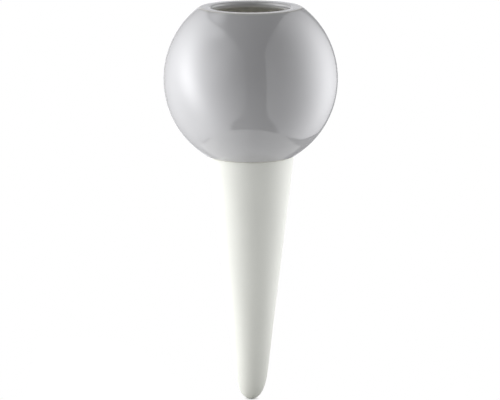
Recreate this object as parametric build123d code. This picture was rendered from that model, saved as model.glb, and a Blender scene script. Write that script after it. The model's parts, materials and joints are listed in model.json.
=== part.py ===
"""A glazed globe on a porous clay spike that waters a potted plant.

Water stands in the globe, runs down into the hollow spike and seeps out through the clay. The origin is
the middle of the globe's foot ring, which is the soil line, and +Z is up. All sizes are in millimetres.
Every piece is a section in the half plane (radius, height), turned about the upright axis.
"""

from build123d import *
import math
import os

# The globe: a spheroid shell, cut flat at the lip and at the foot
GLOBE_RADIUS = 55.0  # outside, at the equator
GLOBE_HALF_HEIGHT = 56.4  # outside, from the centre to a pole, had it not been cut
GLOBE_WALL = 7.3
MOUTH_RADIUS = 24.5
MOUTH_DEPTH = 3.75  # the mouth's straight wall, from the lip down to the globe's inside
LIP_OUTER_ROUND = 4.0
LIP_INNER_ROUND = 1.5
SOCKET_RADIUS = 23.8  # the hole in the foot that takes the spike's spigot
SOCKET_DEPTH = 6.08  # the socket's straight wall, from the foot up to the globe's inside
FOOT_ROUND = 1.0

# The bond: a film under the foot, a sleeve round the spigot and a bead inside the globe
BOND_FILM = 0.2  # between the foot and the spike's shoulder
BOND_SLEEVE = 0.5  # between the socket and the spigot
BOND_SETBACK = 0.2  # the film stops this far inside the shoulder's edge
BEAD_RISE = 2.2  # up the spigot, from the socket's inner edge
BEAD_SPREAD = 2.4  # out over the globe's floor, from the socket's inner edge
BEAD_HOLLOW = 0.3  # how far the bead's face is drawn in

# The spike: a hollow cone with a shoulder, a spigot above it and a blunt nose below
SPIKE_LENGTH = 158.5  # from the soil line to the end of the nose
SPIKE_WALL = 4.5  # square to the cone
SHOULDER_SETBACK = 0.4  # the shoulder's edge lies this far inside the foot's edge
SHOULDER_ROUND = 0.25
SPIGOT_BARE = 1.8  # the spigot stands this far above the bead
SPIGOT_WALL = 4.0
SPIGOT_ROUND = 1.2
NECK_DEPTH = 5.0  # the spigot's bore goes on this far below the shoulder
NOSE_RADIUS = 10.9  # where the straight cone ends and the nose starts
NOSE_LENGTH = 20.0
NOSE_WALL = 6.0  # along the axis

NOSE_STRAIGHTNESS = 0.5  # the nose curve's handle down the cone, as a share of the nose's length
NOSE_BLUNTNESS = 0.68  # the nose curve's handle across the end, as a share of the nose's radius
SAME_PLACE = 0.001  # edges nearer than this are the same edge


def spheroid_rise(radius, wall):
    """How far above or below the globe's centre the face that lies wall inside its outside has a radius."""
    return (GLOBE_HALF_HEIGHT - wall) * math.sqrt(1 - (radius / (GLOBE_RADIUS - wall)) ** 2)


def outside_radius(rise):
    """The globe's outside radius at a distance above or below its centre."""
    return GLOBE_RADIUS * math.sqrt(1 - (rise / GLOBE_HALF_HEIGHT) ** 2)


# Heights and radii of the globe that follow from its sizes
globe_centre = SOCKET_DEPTH + spheroid_rise(SOCKET_RADIUS, GLOBE_WALL)
foot_radius = outside_radius(globe_centre)
mouth_end = globe_centre + spheroid_rise(MOUTH_RADIUS, GLOBE_WALL)
lip_height = mouth_end + MOUTH_DEPTH
lip_radius = outside_radius(lip_height - globe_centre)

# Heights and radii of the bond and the spike, which fit the globe
bead_top = SOCKET_DEPTH + BEAD_RISE
bead_radius = SOCKET_RADIUS + BEAD_SPREAD
bead_edge = globe_centre - spheroid_rise(bead_radius, GLOBE_WALL)
shoulder_height = -BOND_FILM
shoulder_radius = foot_radius - SHOULDER_SETBACK
film_radius = shoulder_radius - BOND_SETBACK
spigot_height = bead_top + SPIGOT_BARE
spigot_radius = SOCKET_RADIUS - BOND_SLEEVE
neck_radius = spigot_radius - SPIGOT_WALL
neck_end = shoulder_height - NECK_DEPTH
nose_start = NOSE_LENGTH - SPIKE_LENGTH
cone_slope = (shoulder_radius - NOSE_RADIUS) / (shoulder_height - nose_start)
wall_across = SPIKE_WALL * math.hypot(1, cone_slope)  # the cone's wall, measured level


def spheroid_arc(low_radius, high_radius, wall, ends_above_centre):
    """The outline of the face that lies wall inside the globe's outside, from its lower half upwards."""
    across = GLOBE_RADIUS - wall
    low_angle = -math.degrees(math.acos(low_radius / across))
    high_angle = math.degrees(math.acos(high_radius / across))
    if not ends_above_centre:
        high_angle = -high_angle
    return EllipticalCenterArc(
        center=(0, globe_centre),
        x_radius=across,
        y_radius=GLOBE_HALF_HEIGHT - wall,
        start_angle=low_angle,
        arc_size=high_angle - low_angle,
    )


def cone_radius(height):
    """The outside radius of the spike's straight cone at a height."""
    return shoulder_radius - cone_slope * (shoulder_height - height)


def nose_curve(radius, start, end):
    """A blunt nose: a cubic that leaves the cone along its line and meets the axis square."""
    drop = NOSE_STRAIGHTNESS * (start - end)
    return Bezier(
        (radius, start),
        (radius - cone_slope * drop, start - drop),
        (NOSE_BLUNTNESS * radius, end),
        (0, end),
    )


def turned(outline):
    """The solid that a closed outline in (radius, height) makes when it is turned about the upright axis."""
    return revolve(Plane.XZ * make_face(outline), axis=Axis.Z)


def ring_edges(solid, radius, height):
    """The solid's circular edges of this radius at this height."""
    circles = solid.edges().filter_by(GeomType.CIRCLE)
    return [
        edge
        for edge in circles
        if abs(edge.radius - radius) < SAME_PLACE and abs(edge.arc_center.Z - height) < SAME_PLACE
    ]


def make_globe():
    """The reservoir: outside, flat lip, mouth, inside, socket and flat foot."""
    outline = [
        spheroid_arc(foot_radius, lip_radius, wall=0, ends_above_centre=True),
        Polyline((lip_radius, lip_height), (MOUTH_RADIUS, lip_height), (MOUTH_RADIUS, mouth_end)),
        spheroid_arc(SOCKET_RADIUS, MOUTH_RADIUS, wall=GLOBE_WALL, ends_above_centre=True),
        Polyline((SOCKET_RADIUS, SOCKET_DEPTH), (SOCKET_RADIUS, 0), (foot_radius, 0)),
    ]
    globe = turned(outline)
    globe = fillet(ring_edges(globe, lip_radius, lip_height), LIP_OUTER_ROUND)
    globe = fillet(ring_edges(globe, MOUTH_RADIUS, lip_height), LIP_INNER_ROUND)
    return fillet(ring_edges(globe, foot_radius, 0), FOOT_ROUND)


def make_spike():
    """The clay cone: spigot, shoulder, straight taper and nose, hollow from the spigot to the nose."""
    ramp_end = neck_end - (cone_radius(neck_end) - wall_across - neck_radius)
    hollow_end = NOSE_WALL - SPIKE_LENGTH
    outline = [
        Polyline(
            (neck_radius, spigot_height),
            (spigot_radius, spigot_height),
            (spigot_radius, shoulder_height),
            (shoulder_radius, shoulder_height),
            (NOSE_RADIUS, nose_start),
        ),
        nose_curve(NOSE_RADIUS, nose_start, -SPIKE_LENGTH),
        Line((0, -SPIKE_LENGTH), (0, hollow_end)),
        nose_curve(NOSE_RADIUS - wall_across, nose_start, hollow_end),
        Polyline(
            (NOSE_RADIUS - wall_across, nose_start),
            (cone_radius(ramp_end) - wall_across, ramp_end),
            (neck_radius, neck_end),
            (neck_radius, spigot_height),
        ),
    ]
    spike = turned(outline)
    spike = fillet(ring_edges(spike, shoulder_radius, shoulder_height), SHOULDER_ROUND)
    rim = ring_edges(spike, neck_radius, spigot_height) + ring_edges(spike, spigot_radius, spigot_height)
    return fillet(rim, SPIGOT_ROUND)


def make_bond():
    """The cured sealant: film, sleeve and bead in one ring."""
    outline = [
        Polyline(
            (spigot_radius, bead_top),
            (spigot_radius, shoulder_height),
            (film_radius, shoulder_height),
            (film_radius, 0),
            (SOCKET_RADIUS, 0),
            (SOCKET_RADIUS, SOCKET_DEPTH),
        ),
        spheroid_arc(SOCKET_RADIUS, bead_radius, wall=GLOBE_WALL, ends_above_centre=False),
        SagittaArc((bead_radius, bead_edge), (spigot_radius, bead_top), -BEAD_HOLLOW),
    ]
    return turned(outline)


pieces = {
    "reservoir_globe": make_globe(),
    "clay_spike": make_spike(),
    "bond_ring": make_bond(),
}
os.makedirs("parts", exist_ok=True)
for name, piece in pieces.items():
    piece.label = name
    export_step(piece, f"parts/{name}.step")
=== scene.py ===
"""The looks of a self watering spike: a grey glazed globe bonded to a spike of bare porous clay.

Every piece is an outline in the half plane (radius, height), in millimetres, carried round the upright axis.
The studio that follows the pieces is in metres.
"""

import json
import math

import bpy
import numpy as np
from mathutils import Matrix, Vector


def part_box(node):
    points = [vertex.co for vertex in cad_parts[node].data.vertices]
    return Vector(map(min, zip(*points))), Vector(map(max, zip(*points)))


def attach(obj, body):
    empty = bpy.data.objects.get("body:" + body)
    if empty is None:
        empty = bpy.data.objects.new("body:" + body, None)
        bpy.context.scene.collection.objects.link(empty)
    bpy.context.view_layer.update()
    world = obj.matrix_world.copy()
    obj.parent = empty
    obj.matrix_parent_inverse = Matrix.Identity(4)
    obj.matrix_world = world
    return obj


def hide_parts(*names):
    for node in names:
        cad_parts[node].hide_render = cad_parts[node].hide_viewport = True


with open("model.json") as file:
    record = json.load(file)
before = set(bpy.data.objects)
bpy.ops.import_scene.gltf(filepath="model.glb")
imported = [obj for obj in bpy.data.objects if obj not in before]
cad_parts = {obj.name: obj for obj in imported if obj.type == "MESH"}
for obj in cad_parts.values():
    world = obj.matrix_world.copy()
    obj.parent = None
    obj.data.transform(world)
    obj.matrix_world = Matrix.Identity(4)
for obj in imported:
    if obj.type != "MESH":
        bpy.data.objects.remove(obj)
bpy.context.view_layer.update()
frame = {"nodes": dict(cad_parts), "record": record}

MM = 0.001  # the frame is in metres

# Sizes in millimetres that the frame gives
boxes = {node: np.array(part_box(node)) / MM for node in frame["nodes"]}
mounts = {mount["name"]: mount for mount in frame["record"]["mounts"]}
globe_radius = boxes["reservoir_globe"][1, 0]
lip_height = boxes["reservoir_globe"][1, 2]
mouth_radius = mounts["mouth_bore"]["dims"]["r_mm"]
spike_end = boxes["clay_spike"][0, 2]
spigot_height = boxes["clay_spike"][1, 2]
shoulder_radius = boxes["clay_spike"][1, 0]
shoulder_height = boxes["bond_ring"][0, 2]
film_radius = boxes["bond_ring"][1, 0]
bead_top = boxes["bond_ring"][1, 2]

# Sizes of the globe in millimetres, as it was cast
GLOBE_HALF_HEIGHT = 56.4
GLOBE_WALL = 7.3
MOUTH_DEPTH = 3.75
SOCKET_RADIUS = 23.8
SOCKET_DEPTH = 6.08
GLOBE_UNEVENNESS = 0.12

# Sizes of its glaze in millimetres
LIP_SOFTNESS = 1.0  # it draws back from the lip's outer edge
MOUTH_SOFTNESS = 1.7  # and from the lip's inner edge
SOFT_SPAN = 4.0  # how far round either edge that reaches
GLAZE_SOFTNESS = 0.35  # at every other edge of the globe
LIP_CROWN = 0.12
THIN_REACH = 0.9  # round the lip's edges, where it drew thin
GREY_ENDS = (2.0, 6.0)  # below the lip, the grey glaze gives way to clear glaze between these depths
ROLL_RISE = 0.15  # it gathers in a low roll where it ends at the foot
ROLL_WIDTH = 0.8
ROLL_PLACE = 1.1  # from the foot's edge
POOL_REACH = 1.3  # round the foot's edge, where it is thick
WIPED_INSET = 0.3  # from the foot's edge to where it was wiped off
WIPED_FADE = 0.4  # over which the bare clay comes up
FACE_SLACK = 0.3  # points this near the foot or the socket belong to it

# Sizes of the spike and the bond in millimetres
SPIKE_WALL = 4.5
SPIGOT_RADIUS = 23.3
SPIGOT_WALL = 4.0
NECK_DEPTH = 5.0
NOSE_RADIUS = 10.9
NOSE_LENGTH = 20.0
NOSE_WALL = 6.0
NOSE_STRAIGHTNESS = 0.5
NOSE_BLUNTNESS = 0.68
CLAY_SOFTNESS = 0.3  # a wet sponge takes the edge off the cast clay
CLAY_UNEVENNESS = 0.2
BEAD_SPREAD = 2.4
BEAD_HOLLOW = 0.3
BEAD_SOFTNESS = 0.12

# The slow waves of a cast wall: how many go round it, how far each twists as it climbs, and where it starts
UNEVEN_WAVES = ((2, 1.0, 0.0), (3, -1.7, 1.1), (5, 2.3, 2.4))
UNEVEN_CLIMB = 30.0  # millimetres of height for each radian of twist

# How finely the surfaces are drawn
OVAL_POINTS = 800
NOSE_POINTS = 300
ARC_POINTS = 60
SPACING = 0.05  # between an outline's points before they are thinned, in millimetres
SIDES = 256
GLOBE_ROWS = 240
SPIKE_ROWS = 220
BOND_ROWS = 64
BEND_PULL = 40.0  # millimetres of outline that count as much as one radian of bend

# Heights and radii that follow from the sizes
mouth_end = lip_height - MOUTH_DEPTH
inner_radius = globe_radius - GLOBE_WALL
inner_half_height = GLOBE_HALF_HEIGHT - GLOBE_WALL
globe_centre = mouth_end - inner_half_height * math.sqrt(1 - (mouth_radius / inner_radius) ** 2)
foot_radius = globe_radius * math.sqrt(1 - (globe_centre / GLOBE_HALF_HEIGHT) ** 2)
lip_radius = globe_radius * math.sqrt(1 - ((lip_height - globe_centre) / GLOBE_HALF_HEIGHT) ** 2)
nose_start = spike_end + NOSE_LENGTH
cone_slope = (shoulder_radius - NOSE_RADIUS) / (shoulder_height - nose_start)
wall_across = SPIKE_WALL * math.hypot(1, cone_slope)
neck_radius = SPIGOT_RADIUS - SPIGOT_WALL
neck_end = shoulder_height - NECK_DEPTH


def oval(inset, first_radius, last_radius, ends_above_centre=True):
    """The globe's wall, inset from its outside and drawn upwards: radius a cos t, height centre + b sin t."""
    across = globe_radius - inset
    first = -math.acos(first_radius / across)
    last = math.acos(last_radius / across)
    turn = np.linspace(first, last if ends_above_centre else -last, OVAL_POINTS)
    height = globe_centre + (GLOBE_HALF_HEIGHT - inset) * np.sin(turn)
    return np.column_stack((across * np.cos(turn), height))


def nose(radius, end):
    """The spike's end, drawn up from the axis.

    It is a cubic of four points, which leaves the axis square to it and runs into the cone along its line.
    """
    drop = NOSE_STRAIGHTNESS * (nose_start - end)
    points = np.array(
        (
            (0, end),
            (NOSE_BLUNTNESS * radius, end),
            (radius - cone_slope * drop, nose_start - drop),
            (radius, nose_start),
        )
    )
    t = np.linspace(0, 1, NOSE_POINTS)[:, None]
    weights = np.hstack(((1 - t) ** 3, 3 * t * (1 - t) ** 2, 3 * t**2 * (1 - t), t**3))
    return weights @ points


def hollow_arc(first, last, depth):
    """A shallow arc from one point to another, bowed to its right: a straight line plus a parabola."""
    t = np.linspace(0, 1, ARC_POINTS)[:, None]
    along = np.subtract(last, first)
    to_right = np.array((along[1], -along[0])) / np.hypot(*along)
    return np.add(first, along * t) + to_right * depth * 4 * t * (1 - t)


def run_along(outline):
    """The running length at each point of an outline, from its first point."""
    return np.concatenate(([0], np.cumsum(np.hypot(*np.diff(outline, axis=0).T))))


def drawn_at(outline, marks, stations):
    """Points of an outline where its running marks have the stations' values, on straight lines between."""
    return np.column_stack([np.interp(stations, marks, side) for side in outline.T])


def evenly(outline):
    """A closed outline's points, set the same small distance apart."""
    loop = np.vstack((outline, outline[:1]))
    run = run_along(loop)
    count = 2 * round(run[-1] / SPACING / 2)
    return drawn_at(loop, run, np.linspace(0, run[-1], count, endpoint=False))


def softened(loop, reach):
    """A closed outline blurred along its length by a bell curve of this reach, which rounds its corners."""
    bell = np.exp(-2 * (math.pi * np.fft.fftfreq(len(loop), SPACING) * reach) ** 2)
    return np.fft.ifft(np.fft.fft(loop, axis=0) * bell[:, None], axis=0).real


def thinned(outline, rows):
    """An outline with fewer points, drawn together at bends: each step's length plus its bend is the same."""
    step = np.diff(outline, axis=0)
    heading = np.unwrap(np.arctan2(step[:, 1], step[:, 0]))
    bend = np.abs(np.diff(heading, prepend=heading[:1]))
    marks = np.concatenate(([0], np.cumsum(np.hypot(*step.T) + BEND_PULL * bend)))
    return drawn_at(outline, marks, np.linspace(0, marks[-1], rows))


def ring_outline(loop, rows):
    """A closed outline with fewer points, its last one not repeating its first."""
    return thinned(np.vstack((loop, loop[:1])), rows + 1)[:-1]


def unevenness(angle, height, depth):
    """How far a cast wall lies inside its true form: slow cosine waves round and up it, from 0 to depth."""
    climb = height / UNEVEN_CLIMB
    waves = sum(np.cos(count * angle + twist * climb + start) for count, twist, start in UNEVEN_WAVES)
    return depth * (len(UNEVEN_WAVES) + waves) / (2 * len(UNEVEN_WAVES))


def carried_round(outline, depth):
    """An outline carried round the axis: x = r cos a, y = r sin a, z = h, with r less the wall's unevenness."""
    angle = np.linspace(0, 2 * math.pi, SIDES, endpoint=False)[None, :]
    radius, height = outline[:, :1], outline[:, 1:]
    sunk = unevenness(angle, height, depth) * np.minimum(radius / NOSE_RADIUS, 1)
    radius = np.maximum(radius - sunk, 0)
    height = np.broadcast_to(height, radius.shape)
    return np.stack((radius * np.cos(angle), radius * np.sin(angle), height), axis=-1)


def grid_faces(rows, closed):
    """Quads of a grid whose columns run round, and whose last row meets its first if it is closed."""
    row = np.arange(rows if closed else rows - 1)[:, None] * SIDES
    above = (row + SIDES) % (rows * SIDES)
    column = np.arange(SIDES)[None, :]
    beside = (column + 1) % SIDES
    corners = np.broadcast_arrays(row + column, row + beside, above + beside, above + column)
    return np.stack(corners, axis=-1).reshape(-1, 4)


def add_mesh(name, material, points, faces, attributes):
    """Makes an object at the origin from points in metres, with a value for each attribute at each point."""
    mesh = bpy.data.meshes.new(name)
    mesh.from_pydata(points.reshape(-1, 3).tolist(), [], faces)
    for attribute, values in attributes.items():
        mesh.attributes.new(attribute, "FLOAT", "POINT").data.foreach_set("value", values.ravel())
    mesh.shade_smooth()
    mesh.materials.append(material)
    made = bpy.data.objects.new(name, mesh)
    bpy.context.scene.collection.objects.link(made)
    return made


def add_piece(name, node, slot, material, points, faces, **attributes):
    """Makes a piece from points in millimetres, riding on the part's one body in place of its CAD node."""
    piece = add_mesh(name, material, points * MM, faces, attributes)
    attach(piece, "root")
    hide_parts(node)


def globe_outline():
    """The globe's section: outside, lip, mouth, inside, socket and foot, softened as fired glaze is."""
    outside = oval(0, foot_radius, lip_radius)
    from_foot = run_along(outside)
    roll = ROLL_RISE * np.exp(-(((from_foot - ROLL_PLACE) / ROLL_WIDTH) ** 2))
    outward = (outside - (0, globe_centre)) / (globe_radius**2, GLOBE_HALF_HEIGHT**2)
    outward /= np.linalg.norm(outward, axis=1, keepdims=True)
    lip_side = lip_height - LIP_CROWN
    lip = hollow_arc((lip_radius, lip_side), (mouth_radius, lip_side), LIP_CROWN)
    inside = oval(GLOBE_WALL, SOCKET_RADIUS, mouth_radius)[::-1]
    loop = evenly(np.vstack((outside + roll[:, None] * outward, lip, inside, (SOCKET_RADIUS, 0))))
    plain = softened(loop, GLAZE_SOFTNESS)
    soft = plain.copy()
    for edge_radius, softness in ((lip_radius, LIP_SOFTNESS), (mouth_radius, MOUTH_SOFTNESS)):
        from_edge = np.hypot(*(loop - (edge_radius, lip_height)).T)
        soft += np.exp(-((from_edge / SOFT_SPAN) ** 2))[:, None] * (softened(loop, softness) - plain)
    return ring_outline(soft, GLOBE_ROWS)


def spike_outline():
    """The spike's section from its outer end to its inner end: nose, cone, shoulder, spigot, bore, hollow."""
    ramp_end = neck_end - (shoulder_radius - cone_slope * NECK_DEPTH - wall_across - neck_radius)
    ramp_radius = shoulder_radius - cone_slope * (shoulder_height - ramp_end) - wall_across
    corners = (
        (shoulder_radius, shoulder_height),
        (SPIGOT_RADIUS, shoulder_height),
        (SPIGOT_RADIUS, spigot_height),
        (neck_radius, spigot_height),
        (neck_radius, neck_end),
        (ramp_radius, ramp_end),
    )
    inner_nose = nose(NOSE_RADIUS - wall_across, spike_end + NOSE_WALL)
    half = np.vstack((nose(NOSE_RADIUS, spike_end), corners, inner_nose[::-1]))
    whole = np.vstack((half, half[-2:0:-1] * (-1, 1)))
    soft = softened(evenly(whole), CLAY_SOFTNESS)
    half = soft[: len(soft) // 2 + 1]
    half[[0, -1], 0] = 0
    return thinned(half, SPIKE_ROWS)


def bond_outline():
    """The sealant's section: film under the foot, sleeve round the spigot and a drawn-in bead above."""
    bead_radius = SOCKET_RADIUS + BEAD_SPREAD
    seat = oval(GLOBE_WALL, SOCKET_RADIUS, bead_radius, ends_above_centre=False)
    corners = (
        (SPIGOT_RADIUS, shoulder_height),
        (film_radius, shoulder_height),
        (film_radius, 0),
        (SOCKET_RADIUS, 0),
    )
    bead = hollow_arc(seat[-1], (SPIGOT_RADIUS, bead_top), -BEAD_HOLLOW)
    return ring_outline(softened(evenly(np.vstack((corners, seat, bead))), BEAD_SOFTNESS), BOND_ROWS)


def linear(colour):
    """An sRGB hex colour as linear red, green, blue and alpha, by the standard's own curve."""
    channels = [int(colour[k : k + 2], 16) / 255 for k in (1, 3, 5)]
    return [c / 12.92 if c <= 0.04045 else ((c + 0.055) / 1.055) ** 2.4 for c in channels] + [1]


def per_size(millimetres):
    """A texture's scale on Object coordinates, in metres, for a pattern of this size."""
    return 1 / (millimetres * MM)


def add_node(tree, kind, inputs={}, **settings):
    """Adds a node: its settings, and for each input a value or another node's output to link."""
    node = tree.nodes.new(kind)
    for setting, value in settings.items():
        setattr(node, setting, value)
    for name, value in inputs.items():
        if isinstance(value, bpy.types.NodeSocket):
            tree.links.new(value, node.inputs[name])
        else:
            node.inputs[name].default_value = value
    return node


def start_material(name):
    """A material with an empty node tree, and that tree to fill."""
    material = bpy.data.materials.new(name)
    material.use_nodes = True
    material.node_tree.nodes.clear()
    return material, material.node_tree


def finish_material(tree, surface):
    """Links the finished surface to the material's output."""
    add_node(tree, "ShaderNodeOutputMaterial", {"Surface": surface})


# Mix nodes keep sockets for each kind of value: these are the share of B, and then those of numbers and colours
SHARE = 0
NUMBER_A, NUMBER_B, NUMBER_RESULT = 2, 3, 0
COLOUR_A, COLOUR_B, COLOUR_RESULT = 6, 7, 2


def dipped_grey_glaze():
    """Opaque grey earthenware glaze, dipped and fired.

    It melts level, so it mirrors the lamps softly. It is cloudy where it ran thicker, pale where it drew back
    from the lip's edges, darker and greener in the roll at the foot, and wiped off under the foot. Inside
    the globe, below the lip, only clear glaze lies on the pale clay.
    """
    material, tree = start_material("dipped_grey_glaze")
    place = add_node(tree, "ShaderNodeTexCoord").outputs["Object"]
    cloud = add_node(
        tree, "ShaderNodeTexNoise", {"Vector": place, "Scale": per_size(26), "Detail": 2.0, "Roughness": 0.4}
    )
    colour = add_node(
        tree,
        "ShaderNodeMix",
        {SHARE: cloud.outputs["Fac"], COLOUR_A: linear("#9E9E9E"), COLOUR_B: linear("#A5A5A5")},
        data_type="RGBA",
    )
    lining = add_node(
        tree,
        "ShaderNodeMix",
        {SHARE: cloud.outputs["Fac"], COLOUR_A: linear("#EAE7DD"), COLOUR_B: linear("#F4F3ED")},
        data_type="RGBA",
    )
    # What shows in place of the plain grey, by the attribute that holds its share
    changes = {
        "thin": linear("#AFADA5"),
        "pooled": linear("#A8A7A1"),
        "inside": lining.outputs[COLOUR_RESULT],
        "bare": linear("#E4E3DA"),
    }
    shares = {
        name: add_node(tree, "ShaderNodeAttribute", attribute_name=name).outputs["Fac"] for name in changes
    }
    for name, change in changes.items():
        colour = add_node(
            tree,
            "ShaderNodeMix",
            {SHARE: shares[name], COLOUR_A: colour.outputs[COLOUR_RESULT], COLOUR_B: change},
            data_type="RGBA",
        )
    gloss = add_node(
        tree, "ShaderNodeTexNoise", {"Vector": place, "Scale": per_size(9), "Detail": 3.0, "Roughness": 0.5}
    )
    roughness = add_node(
        tree, "ShaderNodeMapRange", {"Value": gloss.outputs["Fac"], "To Min": 0.05, "To Max": 0.09}
    )
    roughness = add_node(
        tree,
        "ShaderNodeMix",
        {SHARE: shares["bare"], NUMBER_A: roughness.outputs["Result"], NUMBER_B: 0.9},
    )
    # The peel of fired glaze is about 2 mm from crest to crest
    peel = add_node(tree, "ShaderNodeTexNoise", {"Vector": place, "Scale": per_size(2.2), "Detail": 1.0})
    bump = add_node(
        tree, "ShaderNodeBump", {"Height": peel.outputs["Fac"], "Strength": 0.25, "Distance": 0.012 * MM}
    )
    shader = add_node(
        tree,
        "ShaderNodeBsdfPrincipled",
        {
            "Base Color": colour.outputs[COLOUR_RESULT],
            "Roughness": roughness.outputs[NUMBER_RESULT],
            "IOR": 1.71,
            "Normal": bump.outputs["Normal"],
        },
    )
    finish_material(tree, shader.outputs["BSDF"])
    return material


def slip_cast_clay():
    """Bare porous white clay, slip cast in plaster and sponged.

    It is matt, with the faint sheen that sponging leaves. The eye sees soft cloudy mottling, fine grain and a
    few open pores.
    """
    material, tree = start_material("slip_cast_clay")
    place = add_node(tree, "ShaderNodeTexCoord").outputs["Object"]
    mottle = add_node(
        tree, "ShaderNodeTexNoise", {"Vector": place, "Scale": per_size(14), "Detail": 4.0, "Roughness": 0.55}
    )
    colour = add_node(
        tree,
        "ShaderNodeMix",
        {SHARE: mottle.outputs["Fac"], COLOUR_A: linear("#C9CAC3"), COLOUR_B: linear("#D2D3CC")},
        data_type="RGBA",
    )
    # Real grains are a tenth of a millimetre; drawn at 0.7 mm, so that they show
    grain = add_node(
        tree, "ShaderNodeTexNoise", {"Vector": place, "Scale": per_size(0.7), "Detail": 3.0, "Roughness": 0.6}
    )
    colour = add_node(
        tree,
        "ShaderNodeMix",
        {SHARE: grain.outputs["Fac"], COLOUR_A: linear("#D2D3CB"), COLOUR_B: colour.outputs[COLOUR_RESULT]},
        data_type="RGBA",
    )
    pores = add_node(tree, "ShaderNodeTexVoronoi", {"Vector": place, "Scale": per_size(2.6)})
    open_pore = add_node(
        tree,
        "ShaderNodeMapRange",
        {
            "Value": pores.outputs["Distance"],
            "From Min": 0.05,
            "From Max": 0.16,
            "To Min": 1.0,
            "To Max": 0.0,
        },
    ).outputs["Result"]
    colour = add_node(
        tree,
        "ShaderNodeMix",
        {SHARE: open_pore, COLOUR_A: colour.outputs[COLOUR_RESULT], COLOUR_B: linear("#D5D4CD")},
        data_type="RGBA",
    )
    roughness = add_node(
        tree, "ShaderNodeMapRange", {"Value": grain.outputs["Fac"], "To Min": 0.6, "To Max": 0.76}
    )
    relief = add_node(tree, "ShaderNodeMath", {0: grain.outputs["Fac"], 1: open_pore}, operation="SUBTRACT")
    bump = add_node(
        tree, "ShaderNodeBump", {"Height": relief.outputs["Value"], "Strength": 0.5, "Distance": 0.06 * MM}
    )
    shader = add_node(
        tree,
        "ShaderNodeBsdfPrincipled",
        {
            "Base Color": colour.outputs[COLOUR_RESULT],
            "Roughness": roughness.outputs["Result"],
            "IOR": 1.45,
            "Normal": bump.outputs["Normal"],
        },
    )
    finish_material(tree, shader.outputs["BSDF"])
    return material


def cured_silicone():
    """White silicone sealant, run round with a nozzle and smoothed with a finger.

    It has a satin skin, slightly yellow where it is thick, with faint tool marks round the bead.
    """
    material, tree = start_material("cured_silicone")
    place = add_node(tree, "ShaderNodeTexCoord").outputs["Object"]
    thickness = add_node(tree, "ShaderNodeTexNoise", {"Vector": place, "Scale": per_size(8), "Detail": 2.0})
    colour = add_node(
        tree,
        "ShaderNodeMix",
        {SHARE: thickness.outputs["Fac"], COLOUR_A: linear("#D6D4CA"), COLOUR_B: linear("#E0DFD8")},
        data_type="RGBA",
    )
    marks = add_node(tree, "ShaderNodeTexNoise", {"Vector": place, "Scale": per_size(3), "Detail": 2.0})
    roughness = add_node(
        tree, "ShaderNodeMapRange", {"Value": marks.outputs["Fac"], "To Min": 0.32, "To Max": 0.48}
    )
    bump = add_node(
        tree, "ShaderNodeBump", {"Height": marks.outputs["Fac"], "Strength": 0.4, "Distance": 0.1 * MM}
    )
    shader = add_node(
        tree,
        "ShaderNodeBsdfPrincipled",
        {
            "Base Color": colour.outputs[COLOUR_RESULT],
            "Roughness": roughness.outputs["Result"],
            "IOR": 1.41,
            "Normal": bump.outputs["Normal"],
        },
    )
    finish_material(tree, shader.outputs["BSDF"])
    return material


# The globe, and what its glaze does at each row of its outline
section = globe_outline()
radius, height = section.T
from_lip_edges = np.minimum(
    np.hypot(radius - lip_radius, height - lip_height), np.hypot(radius - mouth_radius, height - lip_height)
)
from_foot_edge = np.hypot(radius - foot_radius, height)
under_foot = np.clip((foot_radius - WIPED_INSET - radius) / WIPED_FADE, 0, 1) * (height < FACE_SLACK)
in_socket = (height < SOCKET_DEPTH) * (radius < SOCKET_RADIUS + FACE_SLACK)
from_centre = np.hypot(radius / globe_radius, (height - globe_centre) / GLOBE_HALF_HEIGHT)
inner_face = from_centre < 1 - GLOBE_WALL / 2 / globe_radius
clear = np.clip((lip_height - GREY_ENDS[0] - height) / (GREY_ENDS[1] - GREY_ENDS[0]), 0, 1)
add_piece(
    "glazed_globe",
    "reservoir_globe",
    "grey_glaze",
    dipped_grey_glaze(),
    carried_round(section, GLOBE_UNEVENNESS),
    grid_faces(GLOBE_ROWS, closed=True).tolist(),
    thin=np.repeat(np.exp(-((from_lip_edges / THIN_REACH) ** 2)), SIDES),
    pooled=np.repeat(np.exp(-((from_foot_edge / POOL_REACH) ** 2)), SIDES),
    inside=np.repeat(inner_face * clear, SIDES),
    bare=np.repeat(np.maximum(under_foot, in_socket), SIDES),
)

# The spike: the two ends of its outline are single points on the axis
section = spike_outline()
rings = carried_round(section[1:-1], CLAY_UNEVENNESS).reshape(-1, 3)
ends = np.column_stack((np.zeros((2, 2)), section[[0, -1], 1]))
column = np.arange(SIDES)
beside = (column + 1) % SIDES
first_end, last_end = np.full(SIDES, len(rings)), np.full(SIDES, len(rings) + 1)
last_ring = len(rings) - SIDES
nose_fan = np.column_stack((first_end, beside, column))
hollow_fan = np.column_stack((last_ring + column, last_ring + beside, last_end))
add_piece(
    "bare_clay_spike",
    "clay_spike",
    "porous_clay",
    slip_cast_clay(),
    np.vstack((rings, ends)),
    grid_faces(SPIKE_ROWS - 2, closed=False).tolist() + nose_fan.tolist() + hollow_fan.tolist(),
)

# The bond
add_piece(
    "sealant_ring",
    "bond_ring",
    "sealant",
    cured_silicone(),
    carried_round(bond_outline(), 0),
    grid_faces(BOND_ROWS, closed=True).tolist(),
)

# Studio sizes in metres
TENT_RADIUS = 0.6
ROOM_RADIUS = 0.8
ROOM_FLOOR = -1.0
ROOM_HEIGHT = 1.35
TABLE_HALF_WIDTH = 0.141
TABLE_SIDE = -0.004  # its middle lies left of the object's axis
TABLE_FRONT = 0.162
TABLE_BACK = 0.17
TABLE_TIP = 0.05  # radians of its round front that are left off, so that its first row has a width
SHADOW_KEPT = (0.0, 0.006)  # from the spike's end, the camera sees the table fade to plain white

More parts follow.
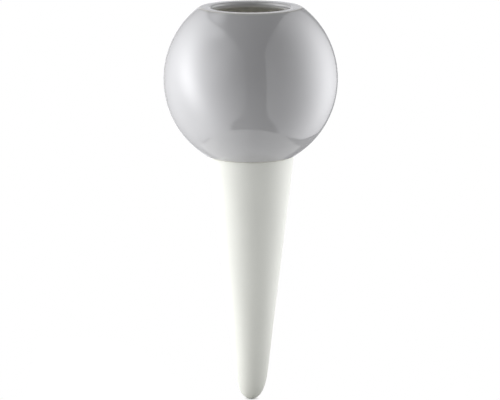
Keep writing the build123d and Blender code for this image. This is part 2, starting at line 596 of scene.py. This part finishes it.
# How finely the studio is drawn
CLOTH_COLUMNS, CLOTH_ROWS = 241, 65
ROOM_COLUMNS = 97
TABLE_COLUMNS, TABLE_FRONT_ROWS, TABLE_BACK_ROWS = 41, 40, 21

# How the table's light is painted on it: emission in place of the lamps' light on it and of the light its left
# side bounces
TABLE_PAINTED_GLOW = 0.67  # painted glow that polished things mirror in the table, where it is dimmest
TABLE_DIMMEST = 0.1  # that place, in half widths right of the object's axis
LEFT_GAIN, RIGHT_GAIN = 0.9, 0.44  # how much more painted glow for each half width to that side
BACK_LOSS = 0.55  # the share of that gain that is lost at the table's back
LEFT_PAINTED_BOUNCE = 1.0  # painted bounce light: the emission that the table's left side throws on matt things
BOUNCE_RAMP = 0.03  # metres left of the object's axis over which it comes up

# The camera, in metres, degrees of roll, and millimetres of lens and sensor
CAMERA_DISTANCE = 2.267
CAMERA_HEIGHT = 0.404
CAMERA_AIM = -0.02915  # the height that it looks at, on the object's axis
CAMERA_SIDE = -0.0006
CAMERA_ROLL = -0.1
CAMERA_REACH = 20.0
LENS = 262.0
SENSOR_WIDTH = 36.0

# The upper and lower edges of each cloth, from left to right, as pairs of azimuth and elevation. Both are in
# degrees, seen from the globe's centre. Azimuth 0 is towards the camera, and positive is to the camera's right.
LEFT_TOP = (
    (-165, 32), (-133, 44), (-115, 52.2), (-96, 58.5), (-80, 60), (-68, 60.3), (-48, 57.5), (-29, 53),
    (-19, 47.5), (-13, 41.5), (-8, 30), (-6, 12),
)
LEFT_FOOT = (
    (-165, -46), (-150, -46), (-141, -44), (-119, -51), (-97, -55.3), (-78, -58), (-60, -60), (-40, -59),
    (-37, -51), (-26, -44.5), (-15, -38), (-8, -28), (-6, -16),
)
CANOPY_TOP = ((-165, 48), (-133, 64), (-115, 72), (-96, 75), (-80, 75), (-68, 72), (-48, 64))
CANOPY_FOOT = LEFT_TOP[:7]
RIGHT_TOP = (
    (20, 18), (21.5, 38), (29, 48.5), (46, 58), (68, 63), (98, 63), (124, 56), (136, 49), (154, 40),
)
RIGHT_FOOT = (
    (20, -16), (22, -33), (27, -40.5), (42, -49), (50, -53), (57, -57), (65, -59), (76, -58.5), (86, -57.3),
    (102, -54.8), (124, -47.5), (134, -41), (154, -25.5),
)
SHEET_TOP = RIGHT_FOOT[8:]
SHEET_FOOT = ((86, -62), (102, -60), (124, -56), (140, -50), (154, -42))
GAP_TOP = ((154, 40), (168, 47))
GAP_FOOT = ((154, -42), (168, -48))
BACK_TOP = ((168, 47), (195, 47))
BACK_FOOT = ((168, -48), (195, -48))

# The lamps behind each cloth: peak glow, azimuth, elevation, spread across and up, and lean, which is how many
# degrees the lamp's glow moves round for each degree that it rises
LEFT_LAMPS = (
    (2.85, -85, -4, 12, 16, -0.42),
    (3.25, -92, 18, 30, 30, -0.5),
    (0.55, -40, 34, 14, 22, 0),
    (1.1, -76, 55, 16, 8, 0),
    (1.75, -84, -46, 38, 22, 0),
    (0.3, -150, 0, 22, 60, 0),
    (0.4, -116, -13, 13, 13, 0),
)
CANOPY_LAMPS = ((1.6, -115, 53, 27, 9, 0),)
RIGHT_LAMPS = (
    (2.9, 105, 0.8, 23.4, 30, 0),
    (0.7, 83, -32, 54, 63, 0),
    (0.2, 20, 0, 12, 40, 0),
    (0.2, 150, -25, 22, 35, 0),
    (0.38, 125, 25, 11, 13, 0),
    (0.3, 121, -27, 12, 12, 0),
)

# Each cloth: its upper edge, its lower edge, its lamps, the spill that glows all over it, and how many degrees
# below its upper edge its glow takes to come up
CLOTHS = {
    "left_scrim": (LEFT_TOP, LEFT_FOOT, LEFT_LAMPS, 0.12, 2),
    "right_scrim": (RIGHT_TOP, RIGHT_FOOT, RIGHT_LAMPS, 0.2, 1),
    "canopy": (CANOPY_TOP, CANOPY_FOOT, CANOPY_LAMPS, 0, 1),
    "low_sheet": (SHEET_TOP, SHEET_FOOT, (), 0.32, 1),
    "gap_sheet": (GAP_TOP, GAP_FOOT, (), 0.32, 1),
    "backdrop": (BACK_TOP, BACK_FOOT, (), 0.88, 1),
}


def patch_faces(rows, columns):
    """Quads between the rows and columns of an open grid."""
    corner = (np.arange(rows - 1)[:, None] * columns + np.arange(columns - 1)[None, :]).ravel()
    return np.column_stack((corner, corner + 1, corner + columns + 1, corner + columns))


def add_stage(name, material, points, **attributes):
    """Makes a studio object, which isn't part of the watering spike, from a grid of points in metres."""
    faces = patch_faces(*points.shape[:2]).tolist()
    thing = add_mesh(name, material, points, faces, attributes)
    return thing


def glowing_cloth():
    """White diffusion cloth with lamps behind it, whose glow at each place is the cloth's own attribute."""
    material, tree = start_material("glowing_cloth")
    glow = add_node(tree, "ShaderNodeAttribute", attribute_name="glow")
    lit = add_node(
        tree, "ShaderNodeEmission", {"Color": linear("#FCFCFF"), "Strength": glow.outputs["Fac"]}
    )
    finish_material(tree, lit.outputs["Emission"])
    return material


def dark_paint():
    """Flat dark wall paint, which keeps stray light off the object."""
    material, tree = start_material("dark_paint")
    paint = add_node(tree, "ShaderNodeBsdfDiffuse", {"Color": linear("#484848")})
    finish_material(tree, paint.outputs["BSDF"])
    return material


def seen_rays(tree):
    """One for rays from the camera or off a glossy or clear surface, and nought for all others."""
    path = add_node(tree, "ShaderNodeLightPath").outputs
    seen = path["Is Camera Ray"]
    for kind in ("Is Glossy Ray", "Is Transmission Ray"):
        seen = add_node(tree, "ShaderNodeMath", {0: seen, 1: path[kind]}, operation="MAXIMUM").outputs["Value"]
    return seen


def pale_card_painted_glow():
    """Pale card that keeps the object's shadow near it and fades to plain white for the camera.

    Its glow is painted light: an emission, brighter to its left, that polished things mirror in place of the
    card as the lamps light it.
    Its bounce is painted bounce light: an emission on its left side that stands in for the lamps' light it
    throws back on matt things.
    """
    material, tree = start_material("pale_card_painted_glow")
    place = add_node(tree, "ShaderNodeTexCoord").outputs["Object"]
    level = add_node(tree, "ShaderNodeVectorMath", {0: place, 1: (1, 1, 0)}, operation="MULTIPLY")
    away = add_node(tree, "ShaderNodeVectorMath", {0: level.outputs["Vector"]}, operation="LENGTH")
    fade = add_node(
        tree,
        "ShaderNodeMapRange",
        {"Value": away.outputs["Value"], "From Min": SHADOW_KEPT[0], "From Max": SHADOW_KEPT[1]},
        interpolation_type="SMOOTHSTEP",
    )
    share = add_node(
        tree, "ShaderNodeMath", {0: fade.outputs["Result"], 1: seen_rays(tree)}, operation="MULTIPLY"
    )
    white = linear("#FFFFFF")
    # Painted bounce light: emission on the card's left side, in place of the lamps' light that it throws back
    # on matt things
    bounce = add_node(tree, "ShaderNodeAttribute", attribute_name="bounce")
    painted_bounce_light = add_node(tree, "ShaderNodeEmission", {"Color": white, "Strength": bounce.outputs["Fac"]})
    card = add_node(tree, "ShaderNodeBsdfDiffuse", {"Color": linear("#B8B8B5")})
    card_with_painted_bounce = add_node(
        tree, "ShaderNodeAddShader", {0: card.outputs["BSDF"], 1: painted_bounce_light.outputs["Emission"]}
    )
    # Painted glow: polished things mirror this emission, brighter to the left, in place of the card as the
    # lamps light it; the camera sees plain white
    glow = add_node(tree, "ShaderNodeAttribute", attribute_name="glow")
    by_camera = add_node(tree, "ShaderNodeLightPath").outputs["Is Camera Ray"]
    strength = add_node(
        tree, "ShaderNodeMath", {0: glow.outputs["Fac"], 1: by_camera}, operation="MAXIMUM"
    )
    plain = add_node(tree, "ShaderNodeEmission", {"Color": white, "Strength": strength.outputs["Value"]})
    mixed = add_node(
        tree,
        "ShaderNodeMixShader",
        {0: share.outputs["Value"], 1: card_with_painted_bounce.outputs["Shader"], 2: plain.outputs["Emission"]},
    )
    finish_material(tree, mixed.outputs["Shader"])
    return material


def glow_behind(lamps, spill, azimuth, elevation):
    """The cloth's glow: spill, plus each lamp's peak times a bell curve of the distance from it in spreads."""
    glow = np.full_like(azimuth, spill)
    for peak, lamp_azimuth, lamp_elevation, across, up, lean in lamps:
        above = elevation - lamp_elevation
        beside = azimuth - lamp_azimuth - lean * above
        glow += peak * np.exp(-((beside / across) ** 2 + (above / up) ** 2) / 2)
    return glow


def add_cloth(name, material, top_edge, foot_edge, lamps, spill, fade):
    """Cloth hung round the object: x = R sin a, y = -R cos a, z from its lower to its upper edge.

    Its glow comes up from nought at its upper edge over the degrees of the fade.
    """
    azimuth, up = np.meshgrid(
        np.linspace(top_edge[0][0], top_edge[-1][0], CLOTH_COLUMNS), np.linspace(0, 1, CLOTH_ROWS)
    )
    head, foot = [np.interp(azimuth, *np.transpose(edge)) for edge in (top_edge, foot_edge)]
    elevation = foot + (head - foot) * up
    turn = np.radians(azimuth)
    points = np.stack((np.sin(turn), -np.cos(turn), np.tan(np.radians(elevation))), axis=-1)
    points = TENT_RADIUS * points + (0, 0, globe_centre * MM)
    glow = glow_behind(lamps, spill, azimuth, elevation) * np.clip((head - elevation) / fade, 0, 1)
    cloth = add_stage(name, material, points, glow=glow)
    cloth.visible_camera = False


scrim = glowing_cloth()
for name, cloth in CLOTHS.items():
    add_cloth(name, scrim, *cloth)

# The dark room round the tent: a floor, a wall and a ceiling, as one outline carried round
outward = np.array((0, 1, 1, 0))[:, None]
upward = np.array((0, 0, 1, 1))[:, None]
turn = np.linspace(0, 2 * math.pi, ROOM_COLUMNS)[None, :]
room_points = np.stack(
    np.broadcast_arrays(
        outward * ROOM_RADIUS * np.sin(turn),
        -outward * ROOM_RADIUS * np.cos(turn),
        ROOM_FLOOR + upward * (ROOM_HEIGHT - ROOM_FLOOR),
    ),
    axis=-1,
)
room = add_stage("dark_room", dark_paint(), room_points)
room.visible_camera = False

# The table that it stands on: half an oval in front, straight sides behind
round_front = -TABLE_FRONT * np.cos(np.linspace(TABLE_TIP, math.pi / 2, TABLE_FRONT_ROWS))
along = np.concatenate((round_front, np.linspace(0, TABLE_BACK, TABLE_BACK_ROWS)[1:]))[:, None]
half_width = TABLE_HALF_WIDTH * np.sqrt(1 - (np.minimum(along, 0) / TABLE_FRONT) ** 2)
across = TABLE_SIDE + half_width * np.linspace(-1, 1, TABLE_COLUMNS)[None, :]
# Painted light on the table: its glow, least just right of the axis, more to either side and less at its back,
# stands in for how the lamps light it, and its left side's painted bounce light stands in for what it throws
# back
off_dimmest = across / TABLE_HALF_WIDTH - TABLE_DIMMEST
gain = np.where(off_dimmest < 0, -LEFT_GAIN, RIGHT_GAIN) * off_dimmest
add_stage(
    "pale_table",
    pale_card_painted_glow(),
    np.stack(np.broadcast_arrays(across, along, spike_end * MM), axis=-1),
    glow=TABLE_PAINTED_GLOW + gain * (1 - BACK_LOSS * np.clip(along / TABLE_BACK, 0, 1)),
    bounce=LEFT_PAINTED_BOUNCE * np.clip(-across / BOUNCE_RAMP, 0, 1),
)

# The world is white behind everything and gives the object no light
world = bpy.data.worlds.new("white_surround")
bpy.context.scene.world = world
world.use_nodes = True
tree = world.node_tree
tree.nodes.clear()
surround = add_node(
    tree, "ShaderNodeBackground", {"Color": linear("#FFFFFF"), "Strength": seen_rays(tree)}
)
add_node(tree, "ShaderNodeOutputWorld", {"Surface": surround.outputs["Background"]})

# The camera
camera_data = bpy.data.cameras.new("photo_camera")
camera_data.lens = LENS
camera_data.sensor_width = SENSOR_WIDTH
camera_data.clip_end = CAMERA_REACH
camera = bpy.data.objects.new("photo_camera", camera_data)
bpy.context.scene.collection.objects.link(camera)
camera.location = (CAMERA_SIDE, -CAMERA_DISTANCE, CAMERA_HEIGHT)
pitch = math.atan2(CAMERA_HEIGHT - CAMERA_AIM, CAMERA_DISTANCE)
level = Matrix.Rotation(math.pi / 2 - pitch, 3, "X")
camera.rotation_euler = (level @ Matrix.Rotation(math.radians(CAMERA_ROLL), 3, "Z")).to_euler()
bpy.context.scene.camera = camera
bpy.context.scene.view_settings.view_transform = "Standard"

bpy.context.view_layer.update()
